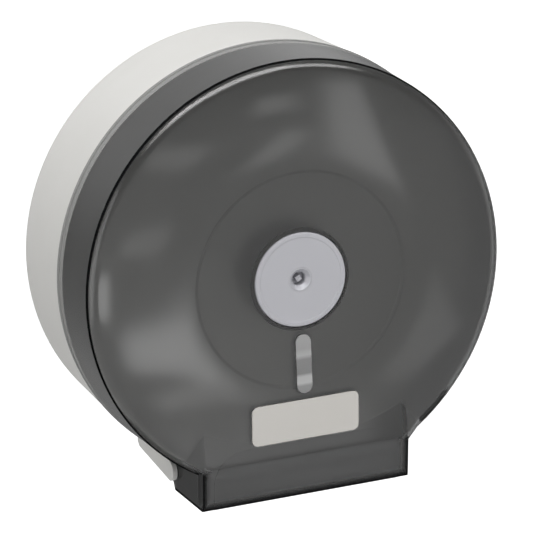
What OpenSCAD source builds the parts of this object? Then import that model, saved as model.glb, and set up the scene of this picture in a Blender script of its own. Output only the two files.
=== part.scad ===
// Jumbo toilet roll dispenser: a round two-shell wall unit. A white back shell screws to the wall and
// carries a post with a turning hub for the roll. A smoked cover closes it, hinged on two pins at the
// chute and held by a quarter-turn lock in the middle of its face.
// Every piece is drawn lying on its back: X to the right, Y up the wall, Z out from the wall.
// from_wall() then stands it up, with the wall at y = 0, the drum's axis on Y and the front at -Y.

/* [Drum] */
// Diameter of the drum where its two shells meet
drum_d = 271; // [255:0.5:300]
// Diameter of the back shell at the wall
wall_d = 265; // [245:0.5:271]
// Diameter of the cover at its front rim
rim_d = 270; // [250:0.5:271]
// Depth of the back shell, from the wall to the parting line
back_h = 64.5; // [60:0.5:70]
// Depth of the drum, from the wall to the cover's front rim
rim_h = 114.2; // [110:0.2:118]
// Rise of the domed face from the front rim to the ring around its middle
dome_rise = 8; // [6:0.5:10]
// Diameter of the ring where the dome ends
ring_d = 137; // [128:1:142]
// Step down from the ring to the dished middle
ring_step = 0.6; // [0.4:0.1:1]
// Fall of the dished middle towards the lock
dish_fall = 0.5; // [0.3:0.1:1]
// Radius of the cover's front rim
rim_r = 2.4; // [2:0.1:3]
// Gap at the parting line
part_gap = 0.4; // [0.3:0.1:0.8]

/* [Walls] */
// Wall of the back shell
back_t = 2.6; // [2:0.1:3.2]
// Plate of the back shell against the wall
plate_t = 3; // [2.5:0.1:4]
// Wall of the smoked cover
cover_t = 2.4; // [2:0.1:2.8]
// Width of the bead around the cover's rear edge
bead_w = 2.6; // [2:0.1:4]
// Height of the bead above the cover's side
bead_t = 0.4; // [0.2:0.1:0.6]
// Height of the lip that the cover fits over
lip_h = 3.5; // [2:0.5:5]
// Thickness of that lip
lip_t = 1.6; // [1.2:0.1:2]
// Clearance between the lip and the cover
lip_gap = 0.35; // [0.3:0.05:0.6]
// Height of the ribs on the inside of the back shell
rib_h = 5; // [3:0.5:8]
// Thickness of the ribs
rib_t = 1.8; // [1.2:0.1:2.5]
// Number of ribs from the post's seat to the side wall
rib_n = 8; // [6:2:12]

/* [Chute] */
// Width of the cover's skirt over its side walls
skirt_w = 136.6; // [128:0.2:142]
// Height of the skirt's side walls
skirt_h = 26.5; // [24:0.5:30]
// How far the skirt's lower edge reaches below the drum
skirt_reach = 3.5; // [2.5:0.5:6]
// Distance from the wall to the skirt's front at its top
skirt_front = 120.4; // [119:0.2:122]
// Slope of the skirt's front in degrees
skirt_slope = 5.8; // [4:0.2:8]
// Slope of the ramp that carries the domed face out to the skirt's front, in degrees
ramp_slope = 4.2; // [3:0.2:6]
// Fall of the ramp to both sides, in degrees
ramp_fall = 26; // [20:1:30]
// Extra thickness of the skirt's front along its lower edge
foot_thick = 4; // [2:0.2:4.4]
// Height over which the front thickens towards that edge
foot_rise = 8; // [5:0.5:10]
// Radius of the fillets between the skirt's front and its side walls
corner_r = 4.5; // [2:0.5:6]
// Width of the raised panel on the skirt's front
panel_w = 122; // [114:1:126]
// Height of that panel
panel_h = 36; // [34:0.5:38]
// Corner radius of that panel
panel_r = 20; // [12:1:26]
// Height of the panel above the skirt's front
panel_t = 0.3; // [0.2:0.1:0.8]
// Thickness of the ears on the back shell
ear_t = 3; // [2.6:0.1:4]
// Distance from the wall to the back of the ears and of the paper outlet
ear_back = 19.5; // [14:0.5:26]
// Clearance between the ears and the skirt
ear_gap = 0.4; // [0.3:0.1:0.8]

/* [Hinge] */
// Distance from the wall to the hinge's axis
hinge_h = 72; // [71:0.5:76]
// Height of the hinge's axis above the drum's lowest point
hinge_up = 10; // [8:0.5:10.5]
// Radius of the eyes around the hinge
eye_r = 6.6; // [5:0.2:7]
// Diameter of the hinge pins
pin_d = 4; // [3:0.2:5]
// Diameter of the pins' heads
pin_head_d = 7.5; // [6.5:0.5:9]
// Thickness of the pins' heads
pin_head_t = 1.5; // [1:0.1:2]
// Angle at which the open cover meets its stops
open_angle = 105; // [95:1:115]

/* [Post and hub] */
// Thickness of the seat for the post, from the wall
seat_t = 6; // [5:0.5:8]
// Diameter of the post's foot
foot_d = 60; // [56:1:66]
// Thickness of the post's foot
foot_t = 7; // [6:0.5:9]
// Outer diameter of the post
post_d = 40; // [38:0.5:44]
// Bore of the post
post_bore = 34; // [33:0.5:36]
// Outer diameter of the hub that the roll's core turns with
hub_d = 48; // [46:0.5:54]
// Diameter of the flange behind the roll
flange_d = 80; // [70:1:100]
// Thickness of that flange
flange_t = 2.4; // [2:0.1:3]
// Width of each bearing land in the hub
land_w = 8; // [5:0.5:12]
// Thickness of the strike plate on the post's tip
strike_t = 1.5; // [1.2:0.1:2]
// Thickness of the washer between the hub and the strike plate
washer_t = 0.8; // [0.5:0.1:1.2]

/* [Lock] */
// Diameter of the white lock disc
disc_d = 59.6; // [56:0.2:64]
// Thickness of the disc's face
disc_t = 2.6; // [2:0.1:3]
// Wall of the well that holds the disc
well_t = 2.2; // [1.8:0.1:2.6]
// Depth of the well behind the disc's face
well_h = 26; // [25:0.5:27]
// Diameter of the lock plug
plug_d = 12; // [10:0.5:14]
// Diameter of the plug's head
plug_head_d = 15; // [14.5:0.5:18]
// Depth of the dimple in the plug's head
dimple_h = 2.6; // [2:0.1:3]
// Diameter of the key's ring-shaped hole
keyhole_d = 8.6; // [7.5:0.1:9.5]
// Depth of the key's ring-shaped hole
keyhole_h = 5; // [4:0.5:7]
// Side of the square key post
key_post = 3.4; // [2.5:0.1:4]
// Diameter of the plug's shaft, where it passes the strike plate
shaft_d = 7.2; // [6.5:0.1:8]
// Length of the cam
cam_l = 20.4; // [19:0.2:21]
// Width of the cam
cam_w = 7; // [6.5:0.1:8]
// Thickness of the cam
cam_t = 2.5; // [2:0.1:3]
// Gap between the cam and the strike plate
cam_gap = 0.6; // [0.4:0.1:1]
// Gap between the plug's clip and the strike plate
clip_gap = 1; // [0.6:0.1:1.5]

/* [Face] */
// Width of the level window
window_w = 10; // [8:0.5:12]
// Distance between the lock disc and the top of the level window
window_top = 4.95; // [4:0.05:7]
// Distance between the level window and the label plate below it
window_gap = 3.75; // [2:0.05:6]
// Width of the label plate
label_w = 70.4; // [60:0.2:74]
// Height of the label plate
label_h = 26; // [24:0.2:26]
// Distance between the label plate and the raised panel below it
label_gap = 1; // [0.8:0.2:2]
// Thickness of the label plate
label_t = 1.5; // [1:0.1:1.6]
// Corner radius of the label plate
label_r = 4; // [2:0.5:6]

/* [Tear bar] */
// Height of the tear bar with its teeth
bar_h = 24; // [20:0.5:25]
// Thickness of the tear bar
bar_t = 2.2; // [1.6:0.1:2.6]
// Distance from the bar's teeth up to its stiffening rib
bar_rib_up = 13.5; // [10:0.5:16]
// Height and width of that rib
bar_rib = 1.2; // [0.8:0.1:1.6]
// Distance between its teeth
tooth_p = 4; // [3:0.5:6]
// Depth of its teeth
tooth_h = 2.2; // [1.5:0.1:3]

/* [Wall fixing] */
// Distance between the wall screw holes, across and up
fix_pitch = 120; // [100:1:130]
// Diameter of the wall screw holes
fix_hole_d = 5.5; // [4.5:0.1:6.5]

/* [Fits] */
// Radial clearance of the turning fits
run_gap = 0.08; // [0.05:0.01:0.1]
// Clearance of pieces that are pushed into place
push_gap = 0.05; // [0.03:0.01:0.1]
// Clearance around pieces that sit in pockets
pocket_gap = 0.35; // [0.3:0.05:0.5]
// Clearance around the label plate
label_fit = 0.2; // [0.15:0.05:0.3]

/* [Hidden] */
$fn = 96;

// Colours
white_abs = "#e4e4e0";
smoke = "#4a4c4c";
disc_white = "#cfcfd4";
steel = "#b9bcc0";

// Overlap that makes joined shapes one solid, and cuts run clear
eps = 0.01;
over = 1;

// Radii of the drum
drum_r = drum_d / 2;
wall_r = wall_d / 2;
rim_rad = rim_d / 2;
ring_r = ring_d / 2;
cover_h0 = back_h + part_gap;          // where the cover starts
ring_h = rim_h + dome_rise;            // the face's highest ring
dome_run = rim_rad - rim_r - ring_r;   // width of the dome
// The dome's section is an arc that leaves the ring level and falls to the rim
dome_rad = (pow(dome_run, 2) + pow(dome_rise, 2)) / (2 * dome_rise);
dome_c = ring_h - dome_rad;            // height of the arc's centre, which lies below the ring
function dome_z(r) = dome_c + sqrt(pow(dome_rad, 2) - pow(r - ring_r, 2));
ring_w = 1.6;                          // width of the ring's step
dish_h = ring_h - ring_step - dish_fall;

// Lock, from the face inwards
disc_r = disc_d / 2;
well_r = disc_r + pocket_gap + push_gap;
disc_h = dish_h + 0.1;                 // front of the disc, just proud of the dish
well_floor = disc_h - well_h;          // front of the well's floor
floor_t = cover_t;
boss_r = plug_d / 2 + 3;               // boss around the plug
boss_end = well_floor - floor_t - 1.5; // rear end of that boss
disc_post_r = 4;                       // posts for the disc's screws
disc_post_at = 20;
disc_post_n = 3;
disc_screw_l = well_h * 0.4;           // how far its screws reach into the posts
pilot_r = 1.25;
plug_washer_t = 0.8;
clip_t = 1;
groove_r = plug_d / 2 - 1.2;
clip_h = boss_end - plug_washer_t - clip_t;
plug_end = clip_h - 1;
post_h = clip_h - clip_gap - strike_t; // tip of the post
strike_h = post_h;
cam_h = strike_h - cam_gap - cam_t;    // rear face of the cam
square_s = 5;                          // square end that drives the cam
cam_screw_r = 1.5;
cam_screw_l = 7.2;
plug_head_t = 4;

// Post and hub
post_r = post_d / 2;
seat_r = foot_d / 2 + 6;
foot_top = seat_t + foot_t;
hub_bore = post_r + run_gap;
hub_h0 = foot_top + 0.5;
washer_h = strike_h - 0.2 - washer_t;
hub_h1 = washer_h - 0.2;
strike_r = hub_d / 2 - 1;
slot_l = cam_l + 2.4;                  // slot in the strike plate that the cam passes
slot_w = cam_w + 3.6;
strike_screw_at = post_bore / 2 - 2.6;
strike_boss_h = post_h / 7;            // bosses for its screws, and the screws' length
strike_screw_l = strike_boss_h - 4.5;
spindle_screw_at = 24;
spindle_screw_n = 4;
spindle_pilot_r = 1.75;
head_r = 3.6;
head_t = 2.5;
counterbore_r = head_r + 0.5;

// Chute and hinge
skirt_in = skirt_w / 2 - cover_t;
skirt_drop = drum_r + skirt_reach;     // distances from the drum's axis down
skirt_top = skirt_drop - skirt_h;
hinge_drop = drum_r - hinge_up;
panel_drop = skirt_drop - panel_h;
ear_in = skirt_w / 2 + ear_gap;
ear_round = 2.5;                       // corner at the ears' back end
pin_r = pin_d / 2;
pin_boss_t = 1.5;
pin_boss_r = pin_head_d / 2 + 0.6;
pin_free = skirt_in - pin_boss_t - 0.1;  // where the pins' heads end
pin_hole = ear_t - 0.8;                // depth of the pins' holes in the ears
stop_t = cover_t - 0.2;                // width and height of the ribs that stop the open cover
stop_h = 2;
stop_l = 4;
// The skirt's front and its panel are planes that lean in towards their foot
function skirt_z(drop) = skirt_front - (drop - skirt_top) * tan(skirt_slope);
function panel_z(drop) = skirt_z(drop) + panel_t;
// and above them a ramp leans the other way, down to the dome
function ramp_z(drop) = skirt_z(skirt_top) - (skirt_top - drop) * tan(ramp_slope);
ramp_reach = 30;                       // how far up, down and inwards the ramp's block is drawn
ramp_foot = 4;
ramp_deep = 20;
ramp_edge = 0.85 * rim_r;              // how far inside the rim it ends
ramp_in = 0.5;                         // its side planes start this far inside the skirt's sides
edge_r = 1.5;                          // rounding of the skirt's lower front edge
// Top of the paper outlet: above the pan's wall between the ears
outlet_up = 8;                         // height of the outlet's top above the wall between the ears
outlet_drop = sqrt(pow(wall_r - back_t, 2) - pow(ear_in, 2)) - outlet_up;
outlet_edge_t = 2.6;                   // thickness and depth of its rolled edge
outlet_edge_w = 7;

// Label plate, in the plane that touches the dome's slope at its middle
label_drop = panel_drop - label_gap - label_h / 2;
label_tilt = asin((label_drop - ring_r) / dome_rad);
label_sink = 0.5;                      // its land lies this far below the dome there
label_proud = 0.15;                    // and the plate stands this far above the land
land_margin = 0.8;

// The level window fills the way from the disc to the label plate
window_l = label_drop - label_h / 2 - window_gap - disc_r - window_top;
window_drop = disc_r + window_top + window_l / 2;

// Tear bar, slid up from below into channels at the skirt's side walls
bar_l = 2 * skirt_in - 1;
bar_off = foot_thick + 0.3;            // from the front's inner face to the bar
bar_foot = 1.2;                        // the teeth end this far above the skirt's bottom
bar_gap = 0.1;
bar_top = skirt_drop - bar_foot - bar_h;
channel_w = 4;                         // how far a channel reaches in over the bar's end
channel_t = 1.4;
channel_l = bar_h - tooth_h - 1;       // its length, down from the bar's top
catch_w = 1.2;                         // ledge under the bar's end that it snaps over

// The back shell's lip ends this far below the axis, above the hinge
lip_end = 60;

// Wall fixing
fix_boss_r = 8;
fix_boss_h = 7;

// ---- helpers ----

// Stands a shape up: its Z axis turns to point out from the wall
module from_wall() rotate([90, 0, 0]) children();

// Extrudes a profile of [up, out] points along X, centred
module across(w) rotate([90, 0, 90]) linear_extrude(w, center = true) children();

// Copies a shape to both sides
module both_sides() {
    children();
    mirror([1, 0, 0]) children();
}

// n points of an arc around c
function arc(c, r, a0, a1, n) = [for (i = [0:n]) let (a = a0 + (a1 - a0) * i / n) c + r * [cos(a), sin(a)]];

module rounded_bar(w, l) {
    square([w, l - w], center = true);
    for (s = [-1, 1]) translate([0, s * (l - w) / 2]) circle(d = w);
}

module rounded_rect(w, h, r) {
    square([w - 2 * r, h], center = true);
    square([w, h - 2 * r], center = true);
    for (x = [-1, 1], y = [-1, 1]) translate([x * (w / 2 - r), y * (h / 2 - r)]) circle(r);
}

module ring(r_out, r_in, h0, h1) translate([0, 0, h0]) difference() {
    cylinder(r = r_out, h = h1 - h0);
    translate([0, 0, -over]) cylinder(r = r_in, h = h1 - h0 + 2 * over);
}

// Cross recess in a screw head that faces up, with its top at z = 0
module cross_recess(l, depth) for (a = [0, 90]) rotate(a)
    translate([-l / 2, -0.5, -depth]) cube([l, 1, depth + over]);

// ---- back shell ----

// Outline of the ears, [up, out], with its eye around the hinge
module ear_profile() {
    low = hinge_drop + eye_r;
    translate([-hinge_drop, hinge_h]) circle(eye_r);
    polygon([[-low, hinge_h], [-hinge_drop, ear_back + ear_round], [-hinge_drop + ear_round, ear_back],
        [-sqrt(pow(wall_r, 2) - pow(ear_in, 2)) + back_t, ear_back],
        [-sqrt(pow(drum_r, 2) - pow(ear_in, 2)) + back_t, back_h],
        [-hinge_drop + eye_r, back_h], [-hinge_drop + eye_r, hinge_h]]);
}

// Outline of the rib on an ear that the skirt's lower back edge meets when the cover is open
module stop_profile() translate([-hinge_drop, hinge_h]) rotate(open_angle)
    translate([hinge_drop - skirt_drop, 0]) rotate(-atan(eye_r / (skirt_drop - hinge_drop)))
        translate([1, -stop_h]) square([stop_l, stop_h]);

module back_shell() color(white_abs) from_wall() {
    foot_round = 1.5;
    lip_r = drum_r - cover_t - lip_gap;
    in_wall = wall_r - back_t;
    difference() {
        union() {
            // pan, with the lip that the cover fits over
            rotate_extrude($fn = 240) polygon([[0, 0], [wall_r - foot_round, 0],
                [wall_r, foot_round], [drum_r, back_h], [lip_r, back_h], [lip_r, back_h + lip_h],
                [lip_r - lip_t, back_h + lip_h], [lip_r - lip_t, back_h - 4],
                [drum_r - back_t - 0.2, back_h - 7], [in_wall, plate_t], [0, plate_t]]);
            // seat for the post
            cylinder(r = seat_r, h = seat_t);
            ring(seat_r - 1, foot_d / 2 + pocket_gap, seat_t - eps, seat_t + 3);
            // ribs
            for (i = [0:rib_n - 1]) rotate(i * 360 / rib_n + 22.5)
                translate([seat_r - 1, -rib_t / 2, plate_t - eps])
                    cube([in_wall - seat_r + 1.5, rib_t, rib_h]);
            // bosses for the wall screws
            for (x = [-1, 1], y = [-1, 1]) translate([x, y] * fix_pitch / 2)
                cylinder(r = fix_boss_r, h = fix_boss_h);
        }
        // wall screw holes
        for (x = [-1, 1], y = [-1, 1]) translate(concat([x, y] * fix_pitch / 2, -over))
            cylinder(d = fix_hole_d, h = fix_boss_h + 2 * over);
        // screws of the post, with their heads sunk in from the wall side
        for (i = [0:spindle_screw_n - 1]) rotate(i * 360 / spindle_screw_n + 45)
            translate([spindle_screw_at, 0, -over]) {
                cylinder(r = spindle_pilot_r + 0.35, h = seat_t + 2 * over);
                cylinder(r = counterbore_r, h = head_t + 0.4 + over);
            }
        // paper outlet between the ears
        translate([-ear_in, -drum_r - over, ear_back])
            cube([2 * ear_in, drum_r + over - outlet_drop, back_h]);
        // the lip stops above the hinge
        translate([-drum_r, -drum_r - over, back_h])
            cube([2 * drum_r, drum_r + over - lip_end, lip_h + over]);
    }
    // rolled edge at the back of the outlet
    intersection() {
        translate([0, 0, ear_back - outlet_edge_t]) ring(wall_r + 0.4, wall_r - outlet_edge_w,
            0, outlet_edge_t);
        translate([-ear_in - eps, -drum_r, 0])
            cube([2 * ear_in + 2 * eps, drum_r - outlet_drop, back_h]);
    }
    // ears with blind holes for the hinge pins
    both_sides() difference() {
        union() {
            translate([ear_in + ear_t / 2, 0, 0]) across(ear_t) ear_profile();
            translate([ear_in - stop_t / 2, 0, 0]) across(stop_t + 2 * eps) stop_profile();
        }
        translate([ear_in - eps, -hinge_drop, hinge_h]) rotate([0, 90, 0])
            cylinder(r = pin_r + push_gap, h = pin_hole, $fn = 32);
    }
}

// ---- front cover ----

// Half-section of the domed cover, filled to its axis and inset by t from its outside
module cover_section(t) {
    start = t == 0 ? cover_h0 : cover_h0 - over;
    edge = max(rim_r - t, 0.6);            // rounding of the rim
    edge_at = rim_rad - t - edge;
    turn = asin((edge_at - ring_r) / (dome_rad - t - edge));
    edge_c = [edge_at, dome_c + (dome_rad - t - edge) * cos(turn)];
    // side and dome, without the corner outside the rim's rounding
    difference() {
        intersection() {
            polygon([[ring_r - eps, start], [drum_r - t, start], [rim_rad - t, ring_h],
                [ring_r - eps, ring_h]]);
            translate([ring_r, dome_c]) circle(dome_rad - t, $fn = 360);
        }
        polygon([edge_c, edge_c + 2 * rim_r * [sin(turn), cos(turn)], edge_c + 2 * rim_r * [1, 1],
            edge_c + [2 * rim_r, 0]]);
    }
    translate(edge_c) circle(edge);
    // ring and dished middle
    polygon([[0, start], [ring_r, start], [ring_r, ring_h - t], [ring_r - ring_w, ring_h - ring_step - t],
        [well_r + well_t, dish_h - t], [0, dish_h - t]]);
}

// Side view of the skirt, [up, out], with its back corner straight below the hinge
module skirt_profile() {
    polygon(concat([[-skirt_top, cover_h0], [-hinge_drop, hinge_h - eye_r], [-skirt_drop, hinge_h]],
        foot_edge(skirt_z(skirt_drop)), [[-skirt_top, skirt_z(skirt_top)]]));
    translate([-hinge_drop, hinge_h]) circle(eye_r);
}

// Rounded lower front edge of the skirt or its panel, for a front that far out
function foot_edge(z) = arc([-skirt_drop + edge_r, z - edge_r], edge_r, 180, 90 + skirt_slope, 4);

// Side view of the space inside the skirt, whose front wall curves thicker towards its foot
module skirt_space() polygon(concat([[-skirt_top, back_h - over], [-skirt_drop - over, back_h - over],
    [-skirt_drop - over, skirt_z(skirt_drop) - cover_t - foot_thick]],
    [for (i = [0:5]) let (up = foot_rise * i / 5)
        [-skirt_drop + up, skirt_z(skirt_drop - up) - cover_t - foot_thick * pow(1 - i / 5, 2)]],
    [[-skirt_top, skirt_z(skirt_top) - cover_t]]));

// Front view of the raised panel, with round upper corners
module panel_outline() {
    x = panel_w / 2 - panel_r;
    y = panel_drop + panel_r;
    translate([-panel_w / 2, -skirt_drop - over]) square([panel_w, skirt_drop + over - y]);
    translate([-x, -skirt_drop]) square([2 * x, panel_h]);
    for (s = [-1, 1]) translate([s * x, -y]) circle(panel_r);
}

// The raised panel's front, with what is behind it down to the parting line
module raised_panel() intersection() {
    translate([0, 0, back_h]) linear_extrude(rim_h) panel_outline();
    across(skirt_w) polygon(concat([[-panel_drop + over, back_h], [-skirt_drop, back_h]],
        foot_edge(panel_z(skirt_drop)), [[-skirt_top, panel_z(skirt_top)],
        [-panel_drop + over, ramp_z(panel_drop - over) + panel_t]]));
}

// Block under the ramp from the domed face to the skirt's front, lowered by t. Two more planes let it
// fall away to the sides, from the skirt's upper corners.
module ramp(t) intersection() {
    top = skirt_z(skirt_top) - t;
    translate([0, 0, rim_h - ramp_deep])
        cylinder(r = rim_rad - ramp_edge - t, h = 2 * ramp_deep, $fn = 240);
    translate([-drum_r, -skirt_top, top]) rotate([-ramp_slope, 0, 0])
        translate([0, -ramp_foot, -2 * ramp_deep])
            cube([2 * drum_r, ramp_foot + ramp_reach, 2 * ramp_deep]);
    translate([-drum_r, -skirt_top, top - 0.05]) rotate([skirt_slope, 0, 0])
        translate([0, -2 * ramp_foot, -2 * ramp_deep])
            cube([2 * drum_r, 2 * ramp_foot + ramp_reach, 2 * ramp_deep]);
    intersection_for (s = [1, -1]) translate([s * (skirt_w / 2 - ramp_in - t), -skirt_top, top])
        rotate([-ramp_slope, 0, 0]) rotate([0, s * ramp_fall, 0])
            translate([-drum_r, -drum_r, -4 * ramp_deep]) cube([2 * drum_r, 2 * drum_r, 4 * ramp_deep]);
}

// Fillets in the skirt's two front corners, reaching a little into both walls
module corner_fillets() both_sides() translate([skirt_in, -skirt_drop, skirt_z(skirt_drop) - cover_t])
    rotate([-90 + skirt_slope, 0, 0]) translate([0, 0, -over]) linear_extrude(skirt_h + 2 * over)
        difference() {
            translate([-corner_r, -over]) square(corner_r + over);
            translate([-corner_r, corner_r]) circle(corner_r);
        }

// Stands a flat shape on the tilted land of the label plate
module on_label_land() translate([0, -label_drop, dome_z(label_drop) - label_sink])
    rotate([label_tilt, 0, 0]) children();

module front_cover() color(smoke) from_wall() {
    difference() {
        union() {
            difference() {
                union() {
                    // drum, with the bead around its rear edge
                    rotate_extrude($fn = 240) {
                        cover_section(0);
                        translate([drum_r - 1, cover_h0]) square([1 + bead_t, bead_w]);
                    }
                    // ramp, skirt and its raised panel
                    ramp(0);
                    across(skirt_w) skirt_profile();
                    raised_panel();
                }
                rotate_extrude($fn = 240) cover_section(cover_t);
                ramp(cover_t);
                difference() {
                    across(2 * skirt_in) skirt_space();
                    corner_fillets();
                }
            }
            // land for the label plate, as thick as the plate's pocket and the cover's wall
            intersection() {
                on_label_land() translate([0, 0, -label_t - cover_t - over])
                    linear_extrude(label_t + cover_t + over)
                        rounded_rect(label_w + 2 * land_margin, label_h + 2 * land_margin,
                            label_r + land_margin);
                translate([0, 0, dish_h - label_t - cover_t - dome_rise]) cylinder(r = rim_rad - cover_t,
                    h = 2 * dome_rise + label_t + cover_t);
            }
            // well for the lock
            ring(well_r + well_t, well_r, well_floor - floor_t, dish_h - cover_t / 2);
            ring(well_r + well_t, boss_r + pocket_gap, well_floor - floor_t, well_floor);
            // bosses around the hinge pins
            both_sides() translate([skirt_in - pin_boss_t, -hinge_drop, hinge_h]) rotate([0, 90, 0])
                cylinder(r = pin_boss_r, h = pin_boss_t + eps, $fn = 32);
            // rib above the tear bar and hooks behind it
            tear_bar_mounts();
        }
        // mouth of the well
        translate([0, 0, well_floor]) cylinder(r = well_r, h = 2 * well_h);
        // level window
        translate([0, -window_drop, well_floor]) linear_extrude(2 * well_h)
            rounded_bar(window_w + 2 * push_gap, window_l + 2 * push_gap);
        // pocket of the label plate
        on_label_land() translate([0, 0, -label_t + label_proud]) linear_extrude(label_t + dome_rise)
            rounded_rect(label_w + 2 * label_fit, label_h + 2 * label_fit, label_r + label_fit);
        // screw holes in the well's floor
        for (i = [0:disc_post_n - 1]) rotate(90 + i * 360 / disc_post_n)
            translate([disc_post_at, 0, well_floor - floor_t - over])
                cylinder(r = pilot_r + 0.45, h = floor_t + 2 * over, $fn = 32);
        // hinge holes
        both_sides() translate([skirt_in - pin_boss_t - over, -hinge_drop, hinge_h]) rotate([0, 90, 0])
            cylinder(r = pin_r + run_gap, h = pin_boss_t + cover_t + 2 * over, $fn = 32);
    }
}

// ---- tear bar and what holds it ----

// Places a shape on the skirt's inner face: X across, Y down the slope from the bar's top, Z inwards
module on_skirt_back() translate([0, -bar_top, skirt_z(bar_top) - cover_t])
    rotate([180 + skirt_slope, 0, 0]) children();

// Channels at both side walls: a stop above the bar's end, a rib behind it and a ledge below it
module tear_bar_mounts() {
    bar_z = bar_off + bar_t + 2 * bar_gap;
    wall_x = skirt_in + eps;
    on_skirt_back() both_sides() {
        translate([wall_x - channel_w, -channel_t - bar_gap, -eps])
            cube([channel_w, channel_t, bar_z + channel_t + eps]);
        translate([wall_x - channel_w, -channel_t - bar_gap, bar_z])
            cube([channel_w, channel_t + bar_gap + channel_l, channel_t]);
        translate([wall_x - catch_w, bar_h - tooth_h + bar_gap, bar_off])
            cube([catch_w, 1, bar_z + channel_t - bar_off]);
    }
}

module tear_bar() color(smoke) from_wall() on_skirt_back() translate([0, 0, bar_off + bar_gap]) {
    teeth = floor((bar_l - 2 * catch_w - 2) / tooth_p);
    flat = bar_h - tooth_h;
    half = teeth * tooth_p / 2;
    linear_extrude(bar_t) polygon(concat([[-bar_l / 2, 0], [-bar_l / 2, flat]],
        [for (i = [0:teeth - 1]) let (x = -half + i * tooth_p) each [[x, flat], [x + tooth_p / 2, bar_h]]],
        [[half, flat], [bar_l / 2, flat], [bar_l / 2, 0]]));
    // stiffening rib on its front
    translate([-bar_l / 2 + channel_w, bar_h - bar_rib_up - bar_rib, -bar_rib])
        cube([bar_l - 2 * channel_w, bar_rib, bar_rib + eps]);
}

// ---- hinge pins ----

module hinge_pins() color(steel) from_wall() both_sides()
    translate([pin_free, -hinge_drop, hinge_h]) rotate([0, 90, 0]) {
        translate([0, 0, -pin_head_t]) cylinder(d = pin_head_d, h = pin_head_t);
        cylinder(r = pin_r, h = ear_in + pin_hole - 0.2 - pin_free);
    }

// ---- post, hub and strike plate ----

module spindle() color(white_abs) from_wall() difference() {
    union() {
        // foot and tube, turned in one section with a root fillet
        rotate_extrude() polygon(concat([[0, seat_t], [foot_d / 2, seat_t],
            [foot_d / 2, foot_top - 1], [foot_d / 2 - 1, foot_top], [post_r, foot_top],
            [post_r, post_h - 1], [post_r - 1, post_h], [post_bore / 2, post_h],
            [post_bore / 2, foot_top + 3], [0, foot_top + 3]]));
        // bosses for the strike plate's screws
        for (s = [-1, 1]) translate([0, s * strike_screw_at, post_h - strike_boss_h])
            cylinder(r = 3, h = strike_boss_h);
    }
    for (s = [-1, 1]) translate([0, s * strike_screw_at, post_h - strike_boss_h + 3])
        cylinder(r = pilot_r, h = strike_boss_h, $fn = 32);
    for (i = [0:spindle_screw_n - 1]) rotate(i * 360 / spindle_screw_n + 45)
        translate([spindle_screw_at, 0, seat_t - over])
            cylinder(r = spindle_pilot_r, h = foot_t - 1 + over, $fn = 32);
}

module spindle_screws() color(steel) from_wall()
    for (i = [0:spindle_screw_n - 1]) rotate(i * 360 / spindle_screw_n + 45)
        translate([spindle_screw_at, 0, 0.4]) {
            difference() {
                cylinder(r = head_r, h = head_t);
                rotate([180, 0, 0]) cross_recess(4, 1.4);
            }
            cylinder(r = spindle_pilot_r - 0.05, h = foot_top - 2.4);
        }

module roll_hub() color(white_abs) from_wall() rotate_extrude() {
    hub_r = hub_d / 2;
    relief = 0.8;
    polygon([[hub_bore, hub_h0], [flange_d / 2 - 1, hub_h0], [flange_d / 2, hub_h0 + 1],
        [flange_d / 2, hub_h0 + flange_t], [hub_r + 1.5, hub_h0 + flange_t],
        [hub_r, hub_h0 + flange_t + 1.5], [hub_r, hub_h1 - 2], [hub_r - 1.5, hub_h1],
        [hub_bore, hub_h1], [hub_bore, hub_h1 - land_w], [hub_bore + relief, hub_h1 - land_w - 1],
        [hub_bore + relief, hub_h0 + land_w + 1], [hub_bore, hub_h0 + land_w]]);
}

module thrust_washer() color("#dcdcd2") from_wall()
    ring(strike_r - 0.5, post_r + 0.3, washer_h, washer_h + washer_t);

module strike_plate() color(steel) from_wall() difference() {
    translate([0, 0, strike_h]) cylinder(r = strike_r, h = strike_t);
    translate([0, 0, strike_h - over]) linear_extrude(strike_t + 2 * over)
        rotate(90) rounded_bar(slot_w, slot_l);
    for (s = [-1, 1]) translate([0, s * strike_screw_at, strike_h]) {
        translate([0, 0, -over]) cylinder(r = 1.7, h = strike_t + 2 * over, $fn = 32);
        cylinder(r1 = 1.7, r2 = 3, h = strike_t + eps, $fn = 32);
    }
}

module strike_screws() color(steel) from_wall() for (s = [-1, 1])
    translate([0, s * strike_screw_at, strike_h]) difference() {
        union() {
            translate([0, 0, -strike_screw_l])
                cylinder(r = pilot_r - push_gap, h = strike_screw_l + eps, $fn = 32);
            cylinder(r1 = pilot_r - push_gap, r2 = 2.8, h = strike_t, $fn = 32);
        }
        translate([0, 0, strike_t]) cross_recess(3, 0.9);
    }

// ---- lock ----

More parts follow.
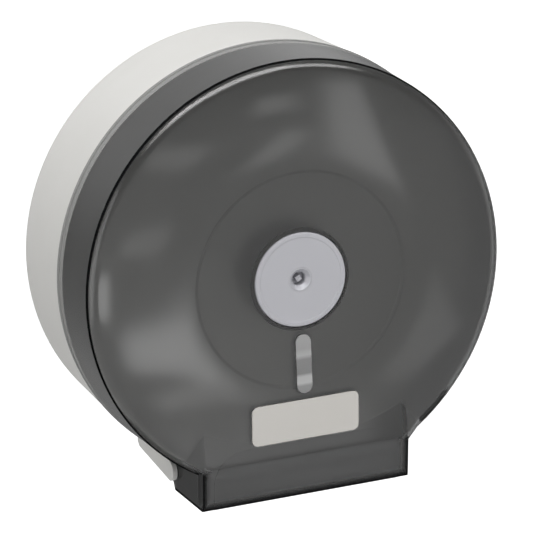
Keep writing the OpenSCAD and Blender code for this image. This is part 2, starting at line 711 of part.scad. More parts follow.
module lock_disc() color(disc_white) from_wall() difference() {
    union() {
        // face with a soft edge, and the rim behind it
        rotate_extrude() polygon([[0, disc_h - disc_t], [disc_r, disc_h - disc_t],
            [disc_r, disc_h - 1], [disc_r - 0.3, disc_h - 0.3], [disc_r - 1.1, disc_h],
            [disc_r - 3, disc_h], [disc_r - 3.6, disc_h - 0.3], [plug_head_d / 2 + 2, disc_h - 0.3],
            [0, disc_h - 0.3]]);
        ring(disc_r - 2, disc_r - 4, well_floor, disc_h - disc_t + eps);
        translate([0, 0, boss_end]) cylinder(r = boss_r, h = disc_h - disc_t - boss_end + eps);
        for (i = [0:disc_post_n - 1]) rotate(90 + i * 360 / disc_post_n)
            translate([disc_post_at, 0, well_floor])
                cylinder(r = disc_post_r, h = well_h - disc_t + eps);
        // webs from the boss to the rim
        for (i = [0:disc_post_n - 1]) rotate(30 + i * 360 / disc_post_n)
            translate([boss_r - 1, -0.8, disc_h - disc_t - well_h / 2])
                cube([disc_r - 4 - boss_r + 2, 1.6, well_h / 2 + eps]);
    }
    translate([0, 0, boss_end - over]) cylinder(r = plug_d / 2 + run_gap, h = 2 * well_h);
    translate([0, 0, disc_h - plug_head_t - run_gap])
        cylinder(r = plug_head_d / 2 + run_gap, h = plug_head_t + over);
    for (i = [0:disc_post_n - 1]) rotate(90 + i * 360 / disc_post_n)
        translate([disc_post_at, 0, well_floor - over])
            cylinder(r = pilot_r, h = disc_screw_l + 1 + over, $fn = 32);
}

module disc_screws() color(steel) from_wall() for (i = [0:disc_post_n - 1])
    rotate(90 + i * 360 / disc_post_n)
        translate([disc_post_at, 0, well_floor - floor_t]) {
            translate([0, 0, -2]) difference() {
                cylinder(r = 2.8, h = 2);
                rotate([180, 0, 0]) cross_recess(3.2, 1);
            }
            translate([0, 0, -eps])
                cylinder(r = pilot_r - push_gap, h = floor_t + disc_screw_l, $fn = 32);
        }

module lock_plug() color(disc_white) from_wall() {
    face = disc_h - 0.3;
    key_h = face - dimple_h;               // rim of the key's hole
    difference() {
        // head, body with the clip's groove, shaft and square end, with the dimple and the key's hole
        union() {
            rotate_extrude() polygon([[0, plug_end], [groove_r, plug_end], [groove_r + 0.6, plug_end + 0.6],
                [plug_d / 2 - 0.2, clip_h - 0.05], [groove_r, clip_h - 0.05],
                [groove_r, clip_h + clip_t + 0.05], [plug_d / 2, clip_h + clip_t + 0.05],
                [plug_d / 2, disc_h - plug_head_t], [plug_head_d / 2, disc_h - plug_head_t],
                [plug_head_d / 2, face], [0, face]]);
            translate([0, 0, cam_h + cam_t]) cylinder(d = shaft_d, h = plug_end - cam_h - cam_t + eps);
            translate([-square_s / 2, -square_s / 2, cam_h])
                cube([square_s, square_s, cam_t + eps]);
        }
        translate([0, 0, key_h]) cylinder(r1 = keyhole_d / 2, r2 = plug_head_d / 2 - 0.8,
            h = dimple_h + eps);
        translate([0, 0, key_h - keyhole_h]) cylinder(d = keyhole_d, h = keyhole_h + over);
        translate([0, 0, cam_h - over]) cylinder(r = cam_screw_r + 0.05, h = cam_screw_l + 1.8, $fn = 32);
    }
    rotate(28) translate([-key_post / 2, -key_post / 2, key_h - keyhole_h - eps])
        cube([key_post, key_post, keyhole_h - 0.4]);
}

module plug_washer() color(steel) from_wall()
    ring(boss_r - 0.4, plug_d / 2 + 0.3, boss_end - plug_washer_t, boss_end);

module plug_clip() color("#6d6f73") from_wall() difference() {
    ring(plug_d / 2 + 2, groove_r + 0.05, clip_h, clip_h + clip_t);
    translate([-groove_r + 0.8, -groove_r - plug_d, clip_h - over])
        cube([2 * groove_r - 1.6, plug_d, clip_t + 2 * over]);
}

module lock_cam() color(steel) from_wall() difference() {
    translate([0, 0, cam_h]) linear_extrude(cam_t) rotate(90) rounded_bar(cam_w, cam_l);
    translate([0, 0, cam_h - over]) linear_extrude(cam_t + 2 * over)
        square(square_s + 2 * push_gap, center = true);
}

module cam_screw() color(steel) from_wall() {
    translate([0, 0, cam_h - 0.1 - 2.2]) difference() {
        cylinder(r = 3.2, h = 2.2);
        rotate([180, 0, 0]) cross_recess(3.6, 1.1);
    }
    translate([0, 0, cam_h - 0.2]) cylinder(r = cam_screw_r, h = cam_screw_l, $fn = 32);
}

// ---- face ----

module level_window() color("#c8ccd0") from_wall() translate([0, -window_drop, 0]) {
    face = dish_h + 0.9;
    back = dish_h - cover_t - 0.1;
    translate([0, 0, back - eps]) linear_extrude(face - back + eps) rounded_bar(window_w, window_l);
    translate([0, 0, back - 1.2]) linear_extrude(1.2) rounded_bar(window_w + 3, window_l + 3);
}

module label_plate() color("#e9e6e0") from_wall() on_label_land() translate([0, 0, -label_t + label_proud])
    linear_extrude(label_t) rounded_rect(label_w, label_h, label_r);

back_shell();
front_cover();
hinge_pins();
spindle();
spindle_screws();
roll_hub();
thrust_washer();
strike_plate();
strike_screws();
lock_disc();
disc_screws();
lock_plug();
plug_washer();
plug_clip();
lock_cam();
cam_screw();
level_window();
label_plate();
tear_bar();
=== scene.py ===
# Jumbo toilet roll dispenser: a white back shell and a smoked cover, hinged at the chute and closed by a
# lock in the middle of its face. The pieces come from the frame, and this script gives them their finish,
# the studio and the camera.
import math

import bpy
from mathutils import Matrix, Vector


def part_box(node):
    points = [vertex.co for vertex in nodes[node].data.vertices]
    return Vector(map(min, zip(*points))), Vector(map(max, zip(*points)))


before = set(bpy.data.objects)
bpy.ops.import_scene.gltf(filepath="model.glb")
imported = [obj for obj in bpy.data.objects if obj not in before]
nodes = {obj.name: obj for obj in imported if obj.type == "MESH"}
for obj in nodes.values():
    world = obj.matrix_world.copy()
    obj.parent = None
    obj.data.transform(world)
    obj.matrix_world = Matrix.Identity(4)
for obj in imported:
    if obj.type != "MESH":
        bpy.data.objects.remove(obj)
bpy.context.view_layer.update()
MM = 0.001

bpy.ops.object.select_all(action="DESELECT")
scene = bpy.context.scene
scene.view_settings.view_transform = "Standard"


# ---- colours and nodes ----

def linear(hex_colour):
    """An sRGB hex colour as linear RGBA."""
    parts = [int(hex_colour[i:i + 2], 16) / 255 for i in (1, 3, 5)]
    return [c / 12.92 if c <= 0.04045 else ((c + 0.055) / 1.055) ** 2.4 for c in parts] + [1.0]


def add(tree, kind, settings=None, **inputs):
    """Adds a node with its settings. An input is a value or a (node, output) link, and is named by its
    socket, with _ for a space, or by i and its number."""
    node = tree.nodes.new(kind)
    for name, value in (settings or {}).items():
        setattr(node, name, value)
    for name, value in inputs.items():
        key = int(name[1:]) if name[0] == "i" and name[1:].isdigit() else name.replace("_", " ")
        if isinstance(value, tuple) and hasattr(value[0], "outputs"):
            tree.links.new(value[0].outputs[value[1]], node.inputs[key])
        else:
            node.inputs[key].default_value = value
    return node


def new_material(name):
    """A material with an empty node tree, and its output node."""
    material = bpy.data.materials.new(name)
    material.use_nodes = True
    material.node_tree.nodes.clear()
    return material, material.node_tree, material.node_tree.nodes.new("ShaderNodeOutputMaterial")


def per_metre(size_mm):
    """The scale of a noise pattern whose grains are this large."""
    return 1 / (size_mm * MM)


# ---- materials ----

FLOW_MM = 45            # size of the drifts of colour in a moulding
COATING_MM = 6          # size of the clouds in a steel piece's coating
DRAWN_LINE_MM = 2.4     # length of the drawn lines in its surface
LINE_SHAPE = 12.0       # and how many times longer than wide they are
METAL_EDGE_MM = 0.25    # radius of its edges


def moulded_plastic(name, light, dark, roughness, edge_mm, grain_mm, grain_depth_mm):
    """Opaque plastic from a spark-eroded mould: a fine even grain, colour that drifts a little with the
    flow of the melt, and corners that the mould leaves slightly round."""
    material, tree, out = new_material(name)
    place = add(tree, "ShaderNodeTexCoord")
    drift = add(tree, "ShaderNodeTexNoise", Vector=(place, "Object"), Scale=per_metre(FLOW_MM), Detail=2.0)
    colour = add(tree, "ShaderNodeMix", {"data_type": "RGBA"}, i0=(drift, "Fac"), i6=linear(dark),
                 i7=linear(light))
    grain = add(tree, "ShaderNodeTexNoise", Vector=(place, "Object"), Scale=per_metre(grain_mm), Detail=3.0,
                Roughness=0.6)
    shine = add(tree, "ShaderNodeMapRange", Value=(grain, "Fac"), From_Min=0.3, From_Max=0.7,
                To_Min=roughness - 0.05, To_Max=roughness + 0.05)
    edge = add(tree, "ShaderNodeBevel", {"samples": 4}, Radius=edge_mm * MM)
    bump = add(tree, "ShaderNodeBump", Strength=0.6, Distance=grain_depth_mm * MM, Height=(grain, "Fac"),
               Normal=(edge, "Normal"))
    bsdf = add(tree, "ShaderNodeBsdfPrincipled", Base_Color=(colour, "Result"), Roughness=(shine, "Result"),
               IOR=1.53, Normal=(bump, "Normal"))
    tree.links.new(bsdf.outputs[0], out.inputs["Surface"])
    return material


# where the cover's look changes: its foot and its rear edge are the frame's, and the other values lie
# at the edges of its skirt and its rim, or just inside them
cover_low, cover_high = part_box("front_cover")
SKIRT_FOOT = cover_low[2]
SKIRT_TOP, SKIRT_SIDE = -113 * MM, 68 * MM
RIM_EDGE, RIM_FRONT = 134 * MM, -111.5 * MM
LIP_FRONT = cover_high[1] - 8.1 * MM
# the soft curve in which the face rolls off into the rim: its start and the slope gained per metre
ROLL_START, ROLL_BEND = 128.3 * MM, 145
# the mould's waves, the duller patches, the radius of the edges, and the widest gap that is painted dark as
# shade
WAVE_MM, WAVE_HEIGHT = 30, 0.006 * MM
DULL_PATCH_MM = 40
COVER_EDGE, GAP_WIDTH = 0.5 * MM, 2.5 * MM
# its finish: the roughness of the polish, from bright to dull, and of the grained inside, the smoke in
# the melt, and how much of the lip band is the shell's white
BRIGHT, DULL, GRAINED = 0.10, 0.13, 0.5
SMOKE_COLOUR, SMOKE_DENSITY = "#868786", 600.0
LIP_WHITE = 0.6


def regions_of_cover(tree, place):
    """The parts of the cover that look different, each as a link that is 1 in it and 0 away from it."""
    where = add(tree, "ShaderNodeSeparateXYZ", Vector=(place, "Object"))
    sideways = add(tree, "ShaderNodeMath", {"operation": "ABSOLUTE"}, i0=(where, "X"))
    flat = add(tree, "ShaderNodeVectorMath", {"operation": "MULTIPLY"}, i0=(place, "Object"), i1=(1, 0, 1))
    far_out = add(tree, "ShaderNodeVectorMath", {"operation": "LENGTH"}, i0=(flat, 0))
    shape = add(tree, "ShaderNodeNewGeometry")
    facing = add(tree, "ShaderNodeSeparateXYZ", Vector=(shape, "True Normal"))
    inside = add(tree, "ShaderNodeAttribute", {"attribute_name": "textured_side"})
    open_air = add(tree, "ShaderNodeAmbientOcclusion", {"samples": 8}, Distance=GAP_WIDTH)

    # each rises smoothly from 0 to 1 between two values of its source
    region = {"inside": (inside, "Fac"), "from_axis": (far_out, "Value")}
    for name, source, start, end in (
            ("outside", (inside, "Fac"), 0.6, 0.4),
            ("faces_front", (facing, "Y"), -0.4, -0.6),
            ("turns_away", (facing, "Y"), -0.95, -0.85),
            ("gap", (open_air, "AO"), 0.6, 0.3),
            ("near_rim", (far_out, "Value"), RIM_EDGE - 10 * MM, RIM_EDGE - 8 * MM),
            ("rim_edge", (far_out, "Value"), RIM_EDGE - 0.1 * MM, RIM_EDGE + 0.4 * MM),
            ("rim_front", (where, "Y"), RIM_FRONT + 0.3 * MM, RIM_FRONT - 0.3 * MM),
            ("lip_depth", (where, "Y"), LIP_FRONT - 0.5 * MM, LIP_FRONT + 0.5 * MM),
            ("above_ears", (where, "Z"), SKIRT_TOP + 1 * MM, SKIRT_TOP + 13 * MM),
            ("above_skirt", (where, "Z"), SKIRT_TOP - 4 * MM, SKIRT_TOP),
            ("on_skirt", (where, "Z"), SKIRT_TOP + 1 * MM, SKIRT_TOP - 2 * MM),
            ("foot", (where, "Z"), SKIRT_FOOT + 7 * MM, SKIRT_FOOT + 0.4 * MM),
            ("low", (where, "Z"), SKIRT_FOOT + 4 * MM, SKIRT_FOOT + 0.6 * MM),
            ("corner", (sideways, 0), SKIRT_SIDE - 4 * MM, SKIRT_SIDE),
            ("side", (sideways, 0), SKIRT_SIDE - 1 * MM, SKIRT_SIDE),
            ("half_side", (sideways, 0), SKIRT_SIDE - 1 * MM, SKIRT_SIDE + 1.5 * MM)):
        step = add(tree, "ShaderNodeMapRange", {"interpolation_type": "SMOOTHSTEP"}, Value=source,
                   From_Min=start, From_Max=end, To_Min=0.0, To_Max=1.0)
        region[name] = (step, "Result")

    # what they make together: a MINIMUM is where all of them are, a MAXIMUM where any of them is
    for name, operation, parts in (
            ("face", "MINIMUM", ("faces_front", "outside", "above_skirt")),
            ("rounded", "MAXIMUM", ("near_rim", "turns_away")),
            ("lip", "MINIMUM", ("lip_depth", "above_ears", "outside")),
            ("rim", "MINIMUM", ("rim_edge", "rim_front", "above_skirt")),
            ("post", "MINIMUM", ("corner", "on_skirt")),
            ("skirt_frame", "MAXIMUM", ("post", "foot")),
            ("skirt_frame", "MINIMUM", ("skirt_frame", "faces_front")),
            ("side_wall", "MINIMUM", ("half_side", "on_skirt")),
            ("side_foot", "MINIMUM", ("low", "side")),
            # the places painted dark as shade: the narrow gaps, the rim's edge, the skirt's frame, sides
            # and foot
            ("painted_shade", "MAXIMUM", ("gap", "rim", "skirt_frame", "side_wall", "side_foot")),
            ("painted_shade", "MINIMUM", ("painted_shade", "outside"))):
        joined = region[parts[0]]
        for part in parts[1:]:
            joined = (add(tree, "ShaderNodeMath", {"operation": operation}, i0=joined, i1=region[part]), 0)
        region[name] = joined
    return region


def polished_relief(tree, place, region):
    """The mould's polish is never quite even: long, shallow waves bend the reflections. At its edge the
    face rolls off into the rim in a soft curve, a parabola that starts a little inside it."""
    waves = add(tree, "ShaderNodeTexNoise", Vector=(place, "Object"), Scale=per_metre(WAVE_MM), Detail=0.0)
    beyond = add(tree, "ShaderNodeMath", {"operation": "SUBTRACT", "use_clamp": True},
                 i0=region["from_axis"], i1=ROLL_START)
    fall = add(tree, "ShaderNodeMath", {"operation": "POWER"}, i0=(beyond, 0), i1=2.0)
    fall = add(tree, "ShaderNodeMath", {"operation": "MULTIPLY"}, i0=(fall, 0), i1=-ROLL_BEND / 2)
    fall = add(tree, "ShaderNodeMath", {"operation": "MULTIPLY"}, i0=(fall, 0), i1=region["face"])
    relief = add(tree, "ShaderNodeMath", {"operation": "MULTIPLY_ADD"}, i0=(waves, "Fac"), i1=WAVE_HEIGHT,
                 i2=(fall, 0))
    radius = add(tree, "ShaderNodeMath", {"operation": "MULTIPLY"}, i0=region["rounded"], i1=COVER_EDGE)
    edge = add(tree, "ShaderNodeBevel", {"samples": 4}, Radius=(radius, 0))
    return add(tree, "ShaderNodeBump", Strength=1.0, Distance=1.0, Height=(relief, 0),
               Normal=(edge, "Normal"))


def smoked_polycarbonate():
    """Smoked wall: the grey is in the melt, so it darkens with the path through it. The outside is
    polished, the inside has the mould's grain and blurs what is behind it. Along the rim, on the skirt's
    edges, sides and foot, and in the narrow gaps round the inserts, shade is painted: a dark matt surface
    is mixed in there in place of the wall seen down its length and of gaps that send no light back."""
    material, tree, out = new_material("smoked_polycarbonate")
    place = add(tree, "ShaderNodeTexCoord")
    region = regions_of_cover(tree, place)
    relief = polished_relief(tree, place, region)
    # handling leaves the polish a little duller in patches
    haze = add(tree, "ShaderNodeTexNoise", Vector=(place, "Object"), Scale=per_metre(DULL_PATCH_MM),
               Detail=1.0)
    polish = add(tree, "ShaderNodeMapRange", Value=(haze, "Fac"), From_Min=0.3, From_Max=0.7,
                 To_Min=BRIGHT, To_Max=DULL)
    roughness = add(tree, "ShaderNodeMix", i0=region["inside"], i2=(polish, "Result"), i3=GRAINED)
    wall = add(tree, "ShaderNodeBsdfPrincipled", Base_Color=(1, 1, 1, 1), Roughness=(roughness, "Result"),
               IOR=1.52, Transmission_Weight=1.0, Normal=(relief, "Normal"))
    # painted shade: a dark matt surface laid over the rim, the skirt's frame, sides and foot, and the gaps
    dark = add(tree, "ShaderNodeBsdfDiffuse", Color=linear("#121213"))
    wall = add(tree, "ShaderNodeMixShader", i0=region["painted_shade"], i1=(wall, 0), i2=(dark, 0))
    # the cover's rear lip lies on the white shell, which shows through it as a paler band
    pale = add(tree, "ShaderNodeBsdfDiffuse", Color=linear("#b4b4b2"))
    share = add(tree, "ShaderNodeMath", {"operation": "MULTIPLY"}, i0=region["lip"], i1=LIP_WHITE)
    wall = add(tree, "ShaderNodeMixShader", i0=(share, 0), i1=(wall, 0), i2=(pale, 0))

    # light passes straight through to the pieces behind, dimmed by the smoke
    clear = add(tree, "ShaderNodeBsdfTransparent", Color=(1, 1, 1, 1))
    path = add(tree, "ShaderNodeLightPath")
    mix = add(tree, "ShaderNodeMixShader", i0=(path, "Is Shadow Ray"), i1=(wall, 0), i2=(clear, 0))
    smoke = add(tree, "ShaderNodeVolumeAbsorption", Color=linear(SMOKE_COLOUR), Density=SMOKE_DENSITY)
    tree.links.new(mix.outputs[0], out.inputs["Surface"])
    tree.links.new(smoke.outputs[0], out.inputs["Volume"])
    return material


# the length of the window that shows, about the middle of its piece, its rounded edge, the frost's grain,
# and the tones from its foot, 0, to its top, 1: pale in the frosted fields, and in the others darker,
# painted shade standing in for the dim drum
SIGHT_LENGTH, SIGHT_EDGE = 37.5 * MM, 0.8 * MM
FROST_MM, FROST_DEPTH = 0.9, 0.02 * MM
SIGHT_FROST_AND_SHADE = ((0.0, "#8a8a8a"), (0.13, "#8f8f8f"), (0.18, "#b9b9b9"), (0.29, "#b4b4b4"),
                (0.34, "#808080"), (0.58, "#868686"), (0.65, "#b0b0b0"), (0.70, "#aaaaaa"),
                (0.76, "#9e9e9e"), (1.0, "#a4a4a4"))


def sight_window():
    """Opaque frosted acrylic: the darker bands between and below its two frosted fields are painted shade.
    """
    material, tree, out = new_material("part_frosted_acrylic")
    low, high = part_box("level_window")
    middle = (low[2] + high[2]) / 2
    place = add(tree, "ShaderNodeTexCoord")
    where = add(tree, "ShaderNodeSeparateXYZ", Vector=(place, "Object"))
    height = add(tree, "ShaderNodeMapRange", Value=(where, "Z"), From_Min=middle - SIGHT_LENGTH / 2,
                 From_Max=middle + SIGHT_LENGTH / 2, To_Min=0.0, To_Max=1.0)
    # painted shade: the darker tones stand in for the dim drum behind clear fields
    fields = add(tree, "ShaderNodeValToRGB", Fac=(height, "Result"))
    ramp = fields.color_ramp
    ramp.elements[0].color = linear(SIGHT_FROST_AND_SHADE[0][1])
    ramp.elements[1].color = linear(SIGHT_FROST_AND_SHADE[-1][1])
    for position, colour in SIGHT_FROST_AND_SHADE[1:-1]:
        ramp.elements.new(position).color = linear(colour)
    frost = add(tree, "ShaderNodeTexNoise", Vector=(place, "Object"), Scale=per_metre(FROST_MM), Detail=3.0)
    edge = add(tree, "ShaderNodeBevel", {"samples": 4}, Radius=SIGHT_EDGE)
    bump = add(tree, "ShaderNodeBump", Strength=0.5, Distance=FROST_DEPTH, Height=(frost, "Fac"),
               Normal=(edge, "Normal"))
    bsdf = add(tree, "ShaderNodeBsdfPrincipled", Base_Color=(fields, "Color"), Roughness=0.18, IOR=1.49,
               Normal=(bump, "Normal"))
    tree.links.new(bsdf.outputs[0], out.inputs["Surface"])
    return material


def worked_metal(name, light, dark, roughness):
    """Pressed or turned steel with its coating: a fine drawn grain along the piece and cloudy spots where
    the coating took unevenly."""
    material, tree, out = new_material(name)
    place = add(tree, "ShaderNodeTexCoord")
    drawn = add(tree, "ShaderNodeMapping", Vector=(place, "Object"), Scale=(1.0, 1.0, LINE_SHAPE))
    lines = add(tree, "ShaderNodeTexNoise", Vector=(drawn, "Vector"), Scale=per_metre(DRAWN_LINE_MM),
                Detail=4.0)
    cloud = add(tree, "ShaderNodeTexNoise", Vector=(place, "Object"), Scale=per_metre(COATING_MM),
                Detail=2.0)
    colour = add(tree, "ShaderNodeMix", {"data_type": "RGBA"}, i0=(cloud, "Fac"), i6=linear(dark),
                 i7=linear(light))
    shine = add(tree, "ShaderNodeMapRange", Value=(lines, "Fac"), From_Min=0.3, From_Max=0.7,
                To_Min=roughness - 0.08, To_Max=roughness + 0.08)
    edge = add(tree, "ShaderNodeBevel", {"samples": 4}, Radius=METAL_EDGE_MM * MM)
    bump = add(tree, "ShaderNodeBump", Strength=0.3, Distance=0.01 * MM, Height=(lines, "Fac"),
               Normal=(edge, "Normal"))
    bsdf = add(tree, "ShaderNodeBsdfPrincipled", Base_Color=(colour, "Result"), Roughness=(shine, "Result"),
               Metallic=1.0, Normal=(bump, "Normal"))
    tree.links.new(bsdf.outputs[0], out.inputs["Surface"])
    return material


smoke = smoked_polycarbonate()
window = sight_window()
# the shell's mould has a grain of 0.4 mm, which takes its gloss. It is drawn at 1 mm, so that it shows
white = moulded_plastic("grained_white_abs", "#e0dfdc", "#d9d8d4", roughness=0.5, edge_mm=0.5,
                        grain_mm=1.0, grain_depth_mm=0.05)
# the post and the hub come from a smoother mould, and shine a little more
post_white = moulded_plastic("smooth_white_abs", "#dededb", "#d8d8d4", roughness=0.4, edge_mm=0.4,
                             grain_mm=1.0, grain_depth_mm=0.015)
# a cooler, darker white with a satin sheen sets the lock off from the cover
disc_grey = moulded_plastic("satin_grey_white_abs", "#bebec3", "#b8b8be", roughness=0.38, edge_mm=0.5,
                            grain_mm=0.8, grain_depth_mm=0.02)
# an even, warm white plate with soft corners
label = moulded_plastic("label_plate_polystyrene", "#d6d3ce", "#d2cfc9", roughness=0.35, edge_mm=0.4,
                        grain_mm=1.5, grain_depth_mm=0.01)
# nylon without pigment is yellowish and waxy
nylon = moulded_plastic("natural_nylon", "#dcd9cd", "#d4d1c4", roughness=0.45, edge_mm=0.2,
                        grain_mm=0.8, grain_depth_mm=0.02)
# bright, cloudy zinc over the steel's drawn lines, and dark, nearly matt phosphate
zinc = worked_metal("zinc_plated_steel", "#bcbfc3", "#a9acb1", roughness=0.34)
dark_steel = worked_metal("phosphated_spring_steel", "#55575c", "#3f4145", roughness=0.42)
finish = {"back_shell": white, "front_cover": smoke, "hinge_pins": zinc, "spindle": post_white,
          "spindle_screws": zinc, "roll_hub": post_white, "thrust_washer": nylon, "strike_plate": zinc,
          "strike_screws": zinc, "lock_disc": disc_grey, "disc_screws": zinc, "lock_plug": disc_grey,
          "plug_washer": zinc, "plug_clip": dark_steel, "lock_cam": zinc, "cam_screw": zinc,
          "level_window": window, "label_plate": label, "tear_bar": smoke}
for name, node in nodes.items():
    node.data.materials.clear()
    node.data.materials.append(finish[name])


# ---- the cover's textured side ----

def mark_textured_side(mesh, is_inside):
    """Stores on every face whether it came from the mould's grained core."""
    mark = mesh.attributes.new("textured_side", "FLOAT", "FACE")
    for face in mesh.polygons:
        mark.data[face.index].value = 1.0 if is_inside(face.center, face.normal) else 0.0


def faces_the_drum(centre, normal):
    """True on the cover's inside: faces towards the wall, or towards the drum's axis."""
    out_from_axis = Vector((centre.x, 0, centre.z)).normalized()
    return normal.y > 0.1 or normal.dot(out_from_axis) < -0.1


mark_textured_side(nodes["front_cover"].data, faces_the_drum)
mark_textured_side(nodes["tear_bar"].data, lambda centre, normal: normal.y > 0.1)


# ---- stage and lamps ----

UPRIGHT = math.pi / 2               # the turn that stands a plane up
FLOOR_Z = -0.8
PAPER_LIFT = 0.75                   # the paper's own light, for the rays that show the background
WALL_FOOT, WALL_TOP = 1.0, 0.5      # brightness of the studio's walls
GLOW_FADE = 0.2                     # the share of a panel's width and height over which it fades


def studio_white():
    """White paper: lit by the lamps, so that it keeps the object's shadow, and lifted to white for the
    camera, in reflections and through the cover."""
    material, tree, out = new_material("studio_white")
    paper = add(tree, "ShaderNodeBsdfDiffuse", Color=linear("#e9e9e9"))
    path = add(tree, "ShaderNodeLightPath")
    seen = add(tree, "ShaderNodeMath", {"operation": "MAXIMUM"}, i0=(path, "Is Camera Ray"),
               i1=(path, "Is Glossy Ray"))
    seen = add(tree, "ShaderNodeMath", {"operation": "MAXIMUM"}, i0=(seen, 0),
               i1=(path, "Is Transmission Ray"))
    lift = add(tree, "ShaderNodeMath", {"operation": "MULTIPLY"}, i0=(seen, 0), i1=PAPER_LIFT)
    glow = add(tree, "ShaderNodeEmission", Color=(1, 1, 1, 1), Strength=(lift, 0))
    both = add(tree, "ShaderNodeAddShader", i0=(paper, 0), i1=(glow, 0))
    tree.links.new(both.outputs[0], out.inputs["Surface"])
    return material


bpy.ops.mesh.primitive_plane_add(size=40, location=(0, 0, FLOOR_Z))
floor = bpy.context.object
floor.name = "floor"
bpy.ops.object.transform_apply()
bpy.ops.mesh.primitive_plane_add(size=12, location=(0, 5, 5), rotation=(UPRIGHT, 0, 0))
backdrop = bpy.context.object
backdrop.name = "backdrop"
bpy.ops.object.transform_apply()
paper_white = studio_white()
for stage_piece in (floor, backdrop):
    stage_piece.data.materials.append(paper_white)


def studio_walls():
    """White walls around the studio that grow dimmer towards the ceiling. The camera sees plain white."""
    world = bpy.data.worlds.new("studio_walls")
    world.use_nodes = True
    tree = world.node_tree
    look = add(tree, "ShaderNodeTexCoord")
    height = add(tree, "ShaderNodeSeparateXYZ", Vector=(look, "Generated"))
    wall = add(tree, "ShaderNodeMapRange", {"interpolation_type": "SMOOTHSTEP"}, Value=(height, "Z"),
               From_Min=-0.02, From_Max=0.3, To_Min=WALL_FOOT, To_Max=WALL_TOP)
    path = add(tree, "ShaderNodeLightPath")
    seen = add(tree, "ShaderNodeMix", i0=(path, "Is Camera Ray"), i2=(wall, "Result"), i3=1.0)
    tree.links.new(seen.outputs["Result"], tree.nodes["Background"].inputs["Strength"])
    tree.nodes["Background"].inputs["Color"].default_value = linear("#ffffff")
    return world


scene.world = studio_walls()


def softbox(name, azimuth, elevation, distance, size, radiance):
    """A rectangular lamp that looks at the drum: azimuth to the right of its front, size in metres, and
    how bright its face is."""
    turn, rise = math.radians(azimuth), math.radians(elevation)
    aim = Vector((0, -0.06, 0))
    place = aim + distance * Vector((math.sin(turn) * math.cos(rise), -math.cos(turn) * math.cos(rise),
                                     math.sin(rise)))
    lamp = bpy.data.lights.new(name, "AREA")
    lamp.shape = "RECTANGLE"
    lamp.size, lamp.size_y = size
    lamp.energy = radiance * math.pi * size[0] * size[1]
    box = bpy.data.objects.new(name, lamp)
    scene.collection.objects.link(box)
    box.location = place
    box.rotation_euler = (aim - place).to_track_quat("-Z", "Y").to_euler()
    box.visible_camera = False


softbox("overhead", azimuth=-15, elevation=62, distance=1.6, size=(1.6, 1.2), radiance=2.15)
softbox("upper_left", azimuth=-62, elevation=58, distance=1.6, size=(0.8, 0.8), radiance=1.5)


def stage_plane(name, place, size, turn, material, through_smoke):
    """A flat stage piece that only reflections show, and if asked for also the smoked cover."""
    bpy.ops.mesh.primitive_plane_add(size=1, location=place, rotation=turn)
    plane = bpy.context.object
    plane.name = name
    plane.scale = (size[0], size[1], 1)
    bpy.ops.object.transform_apply(location=False, rotation=False)
    plane.data.materials.append(material)
    plane.visible_camera = plane.visible_diffuse = plane.visible_shadow = False
    plane.visible_transmission = through_smoke


def soft_glow(name, brightness):
    """A diffusing panel in front of a lamp: bright in its middle, and fading to nothing at its edges."""
    material, tree, out = new_material(name)
    place = add(tree, "ShaderNodeTexCoord")
    across = add(tree, "ShaderNodeSeparateXYZ", Vector=(place, "UV"))
    fades = []
    for axis in ("X", "Y"):
        inwards = add(tree, "ShaderNodeMath", {"operation": "PINGPONG"}, i0=(across, axis), i1=0.5)
        fades.append(add(tree, "ShaderNodeMapRange", {"interpolation_type": "SMOOTHSTEP"},
                         Value=(inwards, 0), From_Min=0.0, From_Max=GLOW_FADE, To_Min=0.0, To_Max=1.0))
    both = add(tree, "ShaderNodeMath", {"operation": "MULTIPLY"}, i0=(fades[0], 0), i1=(fades[1], 0))
    level = add(tree, "ShaderNodeMath", {"operation": "MULTIPLY"}, i0=(both, 0), i1=brightness)
    glow = add(tree, "ShaderNodeEmission", Color=(1, 1, 1, 1), Strength=(level, 0))
    clear = add(tree, "ShaderNodeBsdfTransparent", Color=(1, 1, 1, 1))
    total = add(tree, "ShaderNodeAddShader", i0=(glow, 0), i1=(clear, 0))
    tree.links.new(total.outputs[0], out.inputs["Surface"])
    return material


# panels in front of the drum, whose reflections are the clouds on its face: place across and up and size
# in millimetres, tilt in degrees
PANELS_Y = -1200
for name, x, z, width, height, tilt, brightness in (
        ("panel_tall", 605, 5, 200, 600, 6, 1.8),
        ("panel_wide", 100, -475, 560, 175, -8, 3.0),
        ("panel_low", 170, -615, 520, 85, -29, 1.4),
        ("panel_far_left", -230, -320, 110, 190, 0, 3.4),
        ("panel_left_upper", 50, 65, 320, 90, 24, 1.1),
        ("panel_left_middle", -5, -185, 320, 80, 12, 1.1),
        ("panel_middle_upper", 380, 150, 170, 120, 10, 1.2),
        ("panel_middle", 400, -100, 100, 190, 25, 1.4),
        ("panel_right_low", 1000, -760, 900, 300, 38, 0.6),
        ("panel_skirt", 490, -770, 260, 120, -8, 2.0)):
    stage_plane(name, (x * MM, PANELS_Y * MM, z * MM), (width * MM, height * MM),
                (UPRIGHT, math.radians(tilt), 0), soft_glow(name, brightness), through_smoke=False)
# a large one above, in metres, whose reflection runs along the rim, and a dim one to the left
stage_plane("panel_above", (0.25, -0.75, 1.15), (2.2, 0.7), (0, 0, 0), soft_glow("panel_above", 6.0),
            through_smoke=False)
stage_plane("panel_left", (-1.2, -0.5, 0.1), (1.2, 1.4), (UPRIGHT, 0, UPRIGHT),
            soft_glow("panel_left", 1.6), through_smoke=False)

# the card's greys, as light, at its left, its right and its top, and where they turn into each other
CARD_LEFT, CARD_RIGHT, CARD_TOP = 0.37, 0.19, 0.9
CARD_ACROSS, CARD_UP = (-0.25, 0.15), (-0.15, 0.45)


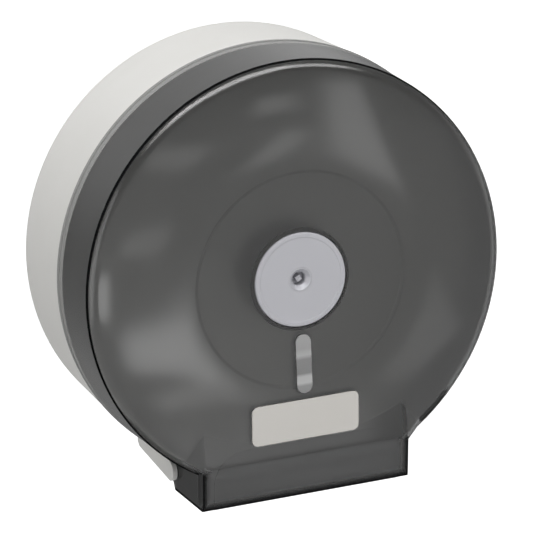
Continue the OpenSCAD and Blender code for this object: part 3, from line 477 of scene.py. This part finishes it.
def graded_card():
    """Grey card, darker to the right and paler at its top: it gives the smoked walls their dark sides."""
    material, tree, out = new_material("graded_card")
    place = add(tree, "ShaderNodeNewGeometry")
    where = add(tree, "ShaderNodeSeparateXYZ", Vector=(place, "Position"))
    grey = add(tree, "ShaderNodeMapRange", Value=(where, "X"), From_Min=CARD_ACROSS[0],
               From_Max=CARD_ACROSS[1], To_Min=CARD_LEFT, To_Max=CARD_RIGHT)
    top = add(tree, "ShaderNodeMapRange", {"interpolation_type": "SMOOTHSTEP"}, Value=(where, "Z"),
              From_Min=CARD_UP[0], From_Max=CARD_UP[1], To_Min=0.0, To_Max=1.0)
    level = add(tree, "ShaderNodeMix", i0=(top, "Result"), i2=(grey, "Result"), i3=CARD_TOP)
    glow = add(tree, "ShaderNodeEmission", Color=(1, 1, 1, 1), Strength=(level, "Result"))
    tree.links.new(glow.outputs[0], out.inputs["Surface"])
    return material


card_grey = graded_card()
stage_plane("card_behind", (0, 0.85, 0.2), (2.6, 1.98), (UPRIGHT, 0, 0), card_grey, through_smoke=True)
stage_plane("card_below", (0.2, 0.3, FLOOR_Z + 0.01), (1.4, 1.1), (0, 0, 0), card_grey, through_smoke=True)


# ---- camera ----

# 22 degrees to the left of the front, 18 degrees above it
AZIMUTH, ELEVATION, ROLL = (math.radians(a) for a in (22.194, 17.68, -2.224))
DISTANCE = 3.0764
AIM = Vector((5.241, -60.0, -11.762)) * MM
FOCAL_PX, IMAGE_PX = 5000, 540
back = Vector((-math.sin(AZIMUTH) * math.cos(ELEVATION), -math.cos(AZIMUTH) * math.cos(ELEVATION),
               math.sin(ELEVATION)))
right = Vector((math.cos(AZIMUTH), -math.sin(AZIMUTH), 0))
up = right.cross(-back)
right, up = (right * math.cos(ROLL) + up * math.sin(ROLL), up * math.cos(ROLL) - right * math.sin(ROLL))
camera_data = bpy.data.cameras.new("camera")
camera_data.sensor_width = 36
camera_data.lens = camera_data.sensor_width * FOCAL_PX / IMAGE_PX
camera_data.clip_end = 100
camera = bpy.data.objects.new("camera", camera_data)
scene.collection.objects.link(camera)
camera.matrix_world = Matrix.Translation(AIM + back * DISTANCE) @ \
    Matrix((right, up, back)).transposed().to_4x4()
scene.camera = camera
